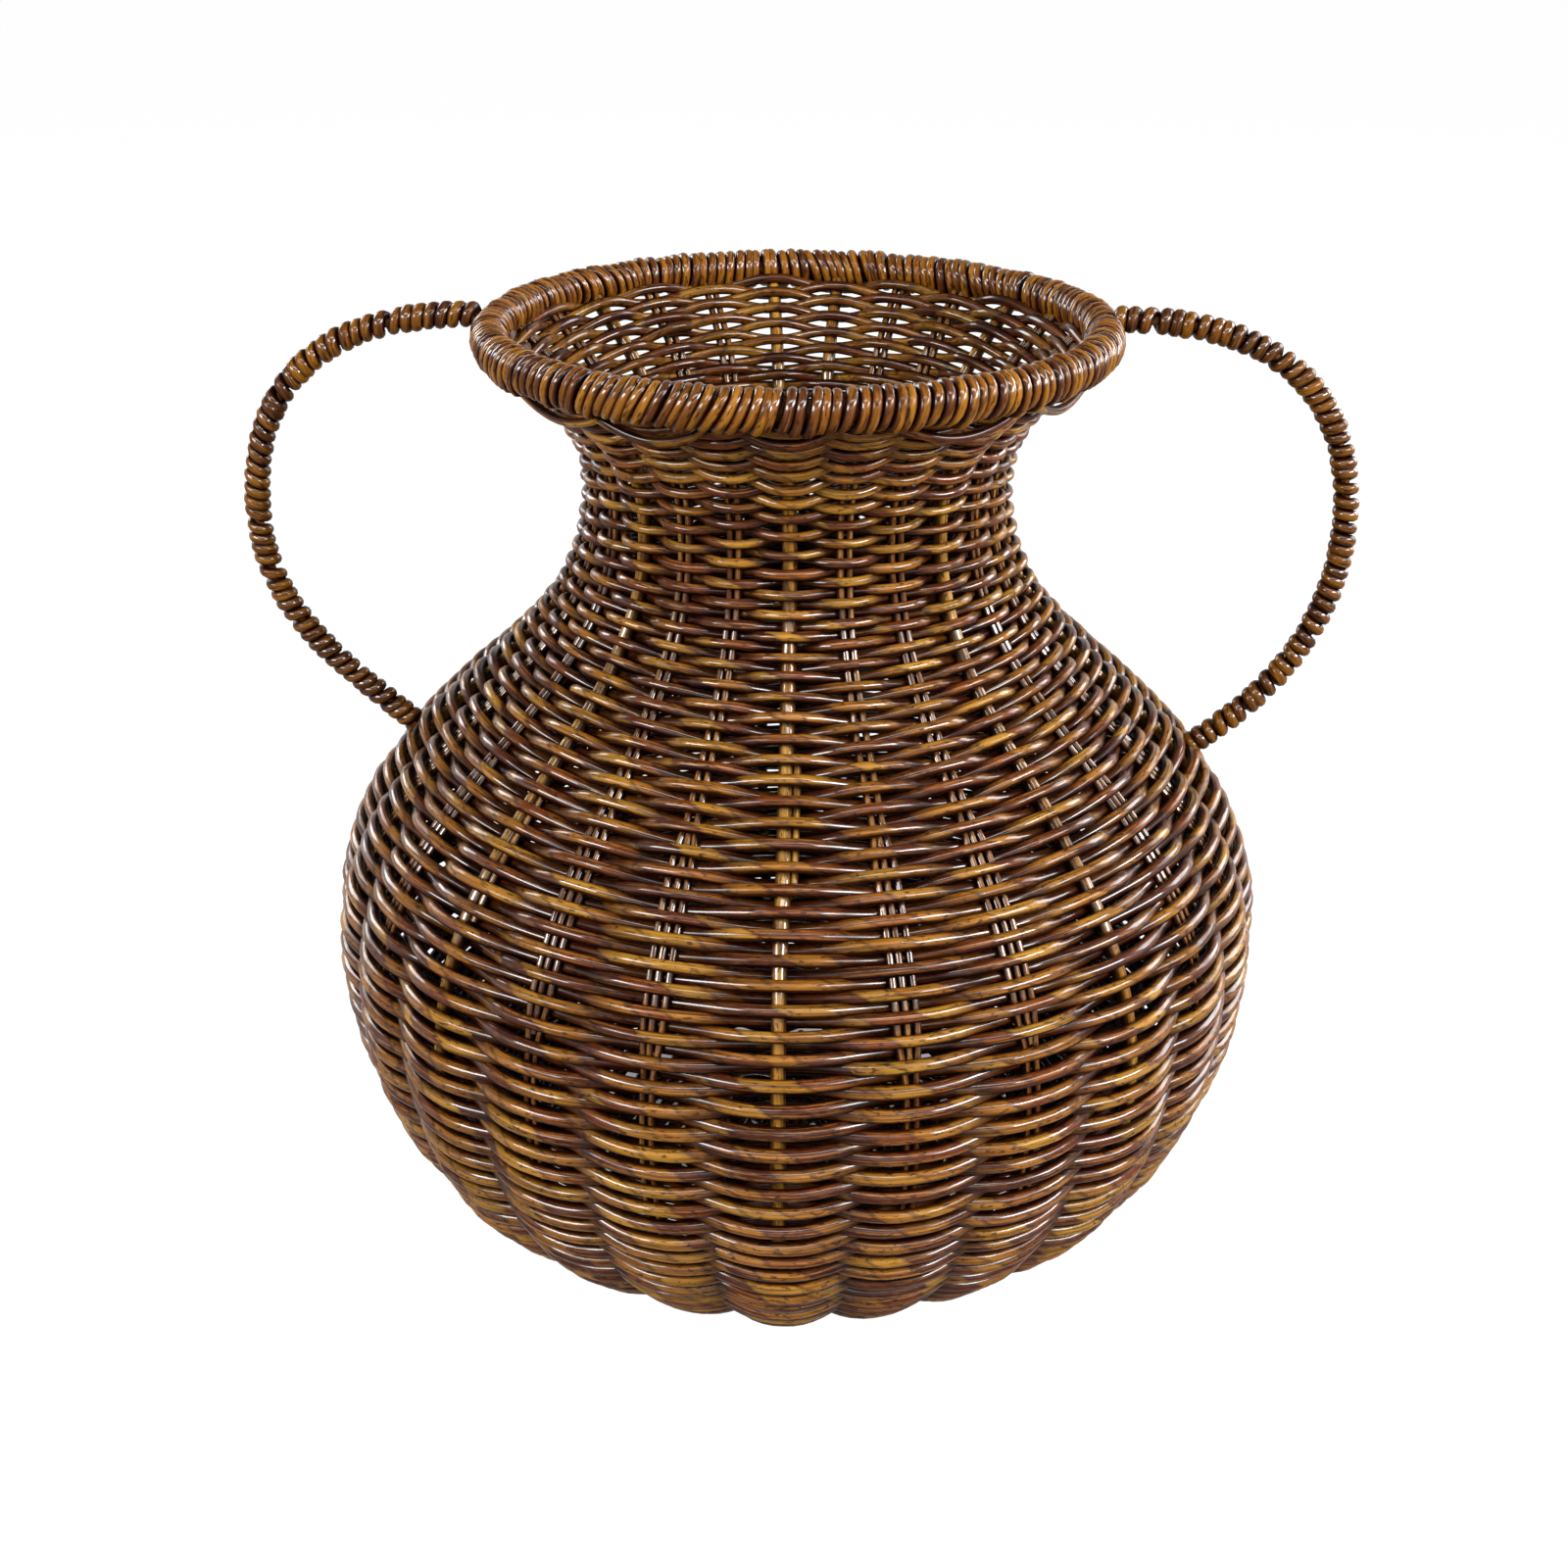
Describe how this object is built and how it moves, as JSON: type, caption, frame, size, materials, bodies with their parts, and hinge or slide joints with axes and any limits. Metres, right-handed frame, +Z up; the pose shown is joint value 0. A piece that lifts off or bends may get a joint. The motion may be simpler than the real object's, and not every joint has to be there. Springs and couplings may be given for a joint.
{
  "type": "woven vase",
  "caption": "Round-bellied woven rattan vase with a narrow neck, a flared mouth with a wrapped rim, and wrapped loop handles from the rim to the shoulder.",
  "frame": {"origin": "centre of the underside of the foot ring, on the surface that the vase stands on", "axes": "+Z up along the vase's axis, +X through the right-hand handle, front towards -Y"},
  "size_m": [0.3774, 0.3315, 0.34],
  "materials": {
    "brown_rattan": "mottled brown lacquered rattan rods, semi-gloss",
    "honey_rattan": "honey coloured lacquered rattan rods, semi-gloss",
    "stake_rattan": "tan and brown thin lacquered rattan stakes, semi-gloss",
    "wrap_rattan": "honey and dark brown lacquered rattan strand, wound close, semi-gloss",
    "core_rattan": "dark rattan rod, mostly hidden, satin"
  },
  "bodies": {
    "root": {"base_wale": "brown_rattan", "base_stick_1": "honey_rattan", "base_stick_2": "honey_rattan", "base_stick_3": "honey_rattan", "base_stick_4": "honey_rattan", "base_stick_5": "honey_rattan", "base_stick_6": "honey_rattan", "base_weaver_1": "brown_rattan", "base_weaver_2": "brown_rattan", "rib_01": "honey_rattan", "rib_02": "stake_rattan", "rib_03": "stake_rattan", "rib_04": "honey_rattan", "rib_05": "stake_rattan", "rib_06": "stake_rattan", "rib_07": "honey_rattan", "rib_08": "stake_rattan", "rib_09": "stake_rattan", "rib_10": "honey_rattan", "rib_11": "stake_rattan", "rib_12": "stake_rattan", "rib_13": "honey_rattan", "rib_14": "honey_rattan", "rib_15": "stake_rattan", "rib_16": "stake_rattan", "rib_17": "honey_rattan", "rib_18": "stake_rattan", "rib_19": "stake_rattan", "rib_20": "honey_rattan", "rib_21": "stake_rattan", "rib_22": "stake_rattan", "rib_23": "honey_rattan", "rib_24": "stake_rattan", "rib_25": "stake_rattan", "foot_weaver": "brown_rattan", "lower_belly_weaver": "brown_rattan", "belly_weaver": "brown_rattan", "upper_belly_weaver": "brown_rattan", "lower_shoulder_weaver": "brown_rattan", "shoulder_weaver": "brown_rattan", "lower_neck_weaver": "brown_rattan", "neck_weaver": "brown_rattan", "lip_weaver": "brown_rattan", "rim_core": "core_rattan", "rim_wrap": "wrap_rattan", "handle_core_left": "core_rattan", "handle_core_right": "core_rattan", "handle_wrap_left": "wrap_rattan", "handle_wrap_right": "wrap_rattan"}
  },
  "joints": []
}
